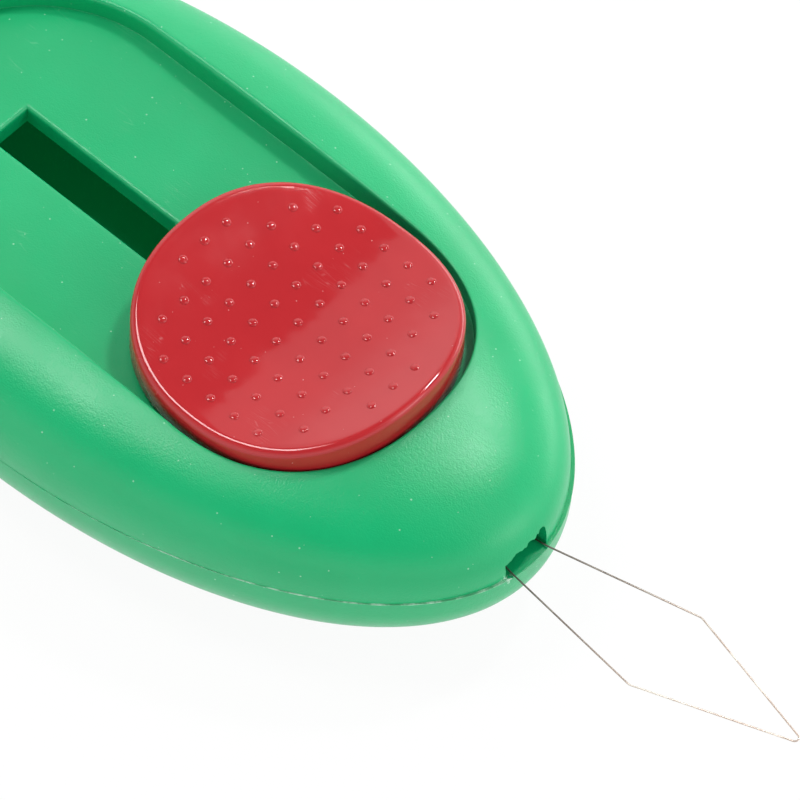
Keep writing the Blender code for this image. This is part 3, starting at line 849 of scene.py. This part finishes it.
def green_satin(grain, marks):
    material, tree, shader, place = new_material("green_satin_plastic")
    cloudy = add_range(tree, add_noise(tree, place, 120.0, 3.0, 0.55), 0.35, 0.65)
    colour = mix_colour(tree, cloudy, *GREEN)
    found = add_group(tree, marks, {"Place": place})
    axes = add_node(tree, "ShaderNodeSeparateXYZ", {"Vector": place}).outputs
    scale = (1 / HALF_LENGTH, 1 / HALF_WIDTH, 0)
    outwards = add_node(tree, "ShaderNodeVectorMath", {0: place, 1: scale}, operation="MULTIPLY")
    length = add_node(tree, "ShaderNodeVectorMath", {0: outwards.outputs[0]}, operation="LENGTH")
    share = length.outputs["Value"]

    flash = seam_flash(tree, place, axes, share)
    above = add_math(tree, "ABSOLUTE", add_math(tree, "SUBTRACT", axes["Z"], FLOOR))
    worn = add_range(tree, above, *FLOOR_WEAR_SPAN, FLOOR_WEAR, 0.0)
    pale = add_math(tree, "MAXIMUM", flash, add_math(tree, "MULTIPLY", found["Scratches"], worn))
    pale = add_math(tree, "MAXIMUM", pale, add_math(tree, "MULTIPLY", found["Dust"], GREEN_DUST))
    feed(tree, shader.inputs["Base Color"], mix_colour(tree, pale, colour, GREEN_PALE))
    rough = add_range(tree, add_noise(tree, place, 300.0, 2.0, 0.6), 0.3, 0.7, *GREEN_ROUGHNESS)
    feed(tree, shader.inputs["Roughness"], rough)
    shader.inputs["Specular IOR Level"].default_value = GREEN_SPECULAR

    # Painted glow inside the pod, standing in for daylight that comes through the thin walls from outside
    glow = mix_colour(tree, painted_glow_mask(tree, axes, share), *INSIDE_PAINTED_GLOW)
    feed(tree, shader.inputs["Emission Color"], glow)
    shader.inputs["Emission Strength"].default_value = 1.0
    add_bump(tree, shader, add_group(tree, grain, {"Place": place})["Height"], *GREEN_GRAIN)
    return material


def red_gloss(marks):
    material, tree, shader, place = new_material("red_gloss_plastic")
    cloudy = add_range(tree, add_noise(tree, place, 160.0, 3.0, 0.55), 0.35, 0.65)
    colour = mix_colour(tree, cloudy, *RED)
    found = add_group(tree, marks, {"Place": place, "Dust Size": 0.07, "Scratch Scale": 200.0})
    pale = add_math(tree, "MULTIPLY", found["Scratches"], 0.08)
    pale = add_math(tree, "MAXIMUM", pale, add_math(tree, "MULTIPLY", found["Dust"], 0.5))
    feed(tree, shader.inputs["Base Color"], mix_colour(tree, pale, colour, RED_PALE))

    rough = add_range(tree, add_noise(tree, place, 500.0, 3.0, 0.6), 0.35, 0.7, *RED_ROUGHNESS)
    rough = add_math(tree, "ADD", rough, add_math(tree, "MULTIPLY", found["Scratches"], 0.15))
    # Rounded edge and sides, found by their depth under the dished top
    axes = add_node(tree, "ShaderNodeSeparateXYZ", {"Vector": place}).outputs
    forward = add_math(tree, "SUBTRACT", axes["X"], BUTTON_X)
    bend = add_math(tree, "DIVIDE", add_math(tree, "MULTIPLY", forward, forward), 2 * DISH_RADIUS)
    below = add_math(tree, "SUBTRACT", add_math(tree, "ADD", bend, BUTTON_TOP), axes["Z"])
    rough = add_math(tree, "ADD", rough, add_range(tree, below, *RED_EDGE_SPAN, 0.0, RED_EDGE_ROUGHNESS))
    feed(tree, shader.inputs["Roughness"], rough)
    add_bump(tree, shader, add_noise(tree, place, 330.0, 2.0, 0.4), *RED_WAVES)
    return material


def drawn_steel():
    material, tree, shader, place = new_material("drawn_steel_wire")
    along = add_node(tree, "ShaderNodeSeparateXYZ", {"Vector": place}).outputs["X"]
    bright = add_range(tree, along, *STEEL_BRIGHT_SPAN)
    spots = add_range(tree, add_noise(tree, place, 700.0, 3.0, 0.6), 0.4, 0.62)
    dark = mix_colour(tree, spots, *STEEL_DARK)
    pale = mix_colour(tree, spots, *STEEL_BRIGHT)
    feed(tree, shader.inputs["Base Color"], mix_colour(tree, bright, dark, pale))
    shader.inputs["Metallic"].default_value = 0.8
    feed(tree, shader.inputs["Roughness"], add_range(tree, spots, 0.0, 1.0, *METAL_ROUGHNESS))
    return material


def natural_nylon(grain, marks):
    material, tree, shader, place = new_material("natural_nylon")
    colour = mix_colour(tree, add_noise(tree, place, 260.0, 3.0, 0.55), *NYLON)
    found = add_group(tree, marks, {"Place": place})
    worn = add_math(tree, "MULTIPLY", found["Scratches"], 0.3)
    feed(tree, shader.inputs["Base Color"], mix_colour(tree, worn, colour, NYLON_WORN))
    shader.inputs["Roughness"].default_value = NYLON_ROUGHNESS
    add_bump(tree, shader, add_group(tree, grain, {"Place": place})["Height"], *NYLON_GRAIN)
    return material


def rolled_brass(marks):
    material, tree, shader, place = new_material("rolled_brass")
    tarnish = add_range(tree, add_noise(tree, place, 900.0, 4.0, 0.6), 0.4, 0.65)
    feed(tree, shader.inputs["Base Color"], mix_colour(tree, tarnish, *BRASS))
    shader.inputs["Metallic"].default_value = 1.0
    found = add_group(tree, marks, {"Place": place})
    rough = add_range(tree, tarnish, 0.0, 1.0, *METAL_ROUGHNESS)
    feed(tree, shader.inputs["Roughness"], add_math(tree, "ADD", rough, found["Scratches"]))
    return material


def dress_node(name, material):
    """Give a solid that is kept as it is a better finish."""
    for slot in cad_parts[name].material_slots:
        slot.material = material


def build_camera():
    turn, pitch, roll = CAMERA_TURN, CAMERA_PITCH, CAMERA_ROLL
    level_ahead = Vector((math.cos(turn), math.sin(turn), 0))
    ahead = level_ahead * math.cos(pitch) - Vector((0, 0, math.sin(pitch)))
    level = Vector((math.sin(turn), -math.cos(turn), 0))
    raised = level.cross(ahead)
    right = level * math.cos(roll) + raised * math.sin(roll)
    up = raised * math.cos(roll) - level * math.sin(roll)
    place = CAMERA_AIM + right * CAMERA_ASIDE + up * CAMERA_BELOW - ahead * CAMERA_DISTANCE
    data = bpy.data.cameras.new("photo_camera")
    data.lens = CAMERA_LENS
    data.clip_start, data.clip_end = CAMERA_CLIP
    camera = bpy.data.objects.new("photo_camera", data)
    bpy.context.collection.objects.link(camera)
    turned = Matrix((right, up, -ahead)).transposed().to_4x4()
    camera.matrix_world = Matrix.Translation(place) @ turned
    bpy.context.scene.camera = camera


def add_lamp(name, towards, distance, width, height, power):
    """A softbox in a direction from the object, facing it."""
    data = bpy.data.lights.new(name, "AREA")
    data.shape = "RECTANGLE"
    data.size = width
    data.size_y = height
    data.energy = power
    lamp = bpy.data.objects.new(name, data)
    lamp.visible_camera = False
    bpy.context.collection.objects.link(lamp)
    away = Vector(towards).normalized()
    facing = away.to_track_quat("Z", "Y").to_matrix().to_4x4()
    lamp.matrix_world = Matrix.Translation(away * distance) @ facing


def build_studio():
    world = bpy.data.worlds.new("white_cove")
    bpy.context.scene.world = world
    world.use_nodes = True
    tree = world.node_tree
    background = tree.nodes["Background"]
    direction = add_node(tree, "ShaderNodeTexCoord").outputs["Generated"]
    height = add_node(tree, "ShaderNodeSeparateXYZ", {"Vector": direction}).outputs["Z"]
    sky = add_range(tree, height, *COVE_TOP_SPAN, COVE_SIDES, COVE_TOP)
    cove = add_math(tree, "ADD", sky, add_range(tree, height, *COVE_FOOT_SPAN, COVE_FOOT, 0.0))
    background.inputs["Color"].default_value = (1, 1, 1, 1)
    feed(tree, background.inputs["Strength"], cove)
    for lamp in LAMPS:
        add_lamp(*lamp)

    bm = bmesh.new()
    bmesh.ops.create_grid(bm, x_segments=2, y_segments=2, size=FLOOR_HALF)
    material, tree, shader, place = new_material("white_floor")
    shade = add_noise(tree, place, 6.0, 2.0, 0.5)
    feed(tree, shader.inputs["Base Color"], mix_colour(tree, shade, *WHITE))
    shader.inputs["Roughness"].default_value = 0.8
    glow = tree.nodes.new("ShaderNodeEmission")
    path = add_node(tree, "ShaderNodeLightPath")
    seen = add_math(tree, "MAXIMUM", path.outputs["Is Camera Ray"], path.outputs["Is Glossy Ray"])
    seen = add_math(tree, "MAXIMUM", seen, path.outputs["Is Transmission Ray"])
    both = tree.nodes.new("ShaderNodeMixShader")
    share = add_math(tree, "MULTIPLY", seen, FLOOR_GLOW)
    for socket, value in zip(both.inputs, (share, shader.outputs[0], glow.outputs[0])):
        feed(tree, socket, value)
    feed(tree, tree.nodes["Material Output"].inputs["Surface"], both.outputs[0])
    floor = make_piece("white_floor", bm, material)


def main():
    bpy.context.scene.view_settings.view_transform = "Standard"
    build_camera()
    build_studio()

    grain, marks = group_moulded_grain(), group_handling_marks()
    green = green_satin(grain, marks)
    upper = build_upper_shell(green)
    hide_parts("upper_shell")
    lower = build_lower_shell(green)
    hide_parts("lower_shell")
    for shell in (upper, lower):
        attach(shell, "pod")

    button = build_thumb_button(red_gloss(marks))
    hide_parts("thumb_button")
    wire = build_wire_loop(drawn_steel())
    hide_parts("wire_loop")
    for piece in (button, wire):
        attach(piece, "slider")
    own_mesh(wire)

    dress_node("slide_carriage", natural_nylon(grain, marks))
    dress_node("wire_crimp", rolled_brass(marks))


main()
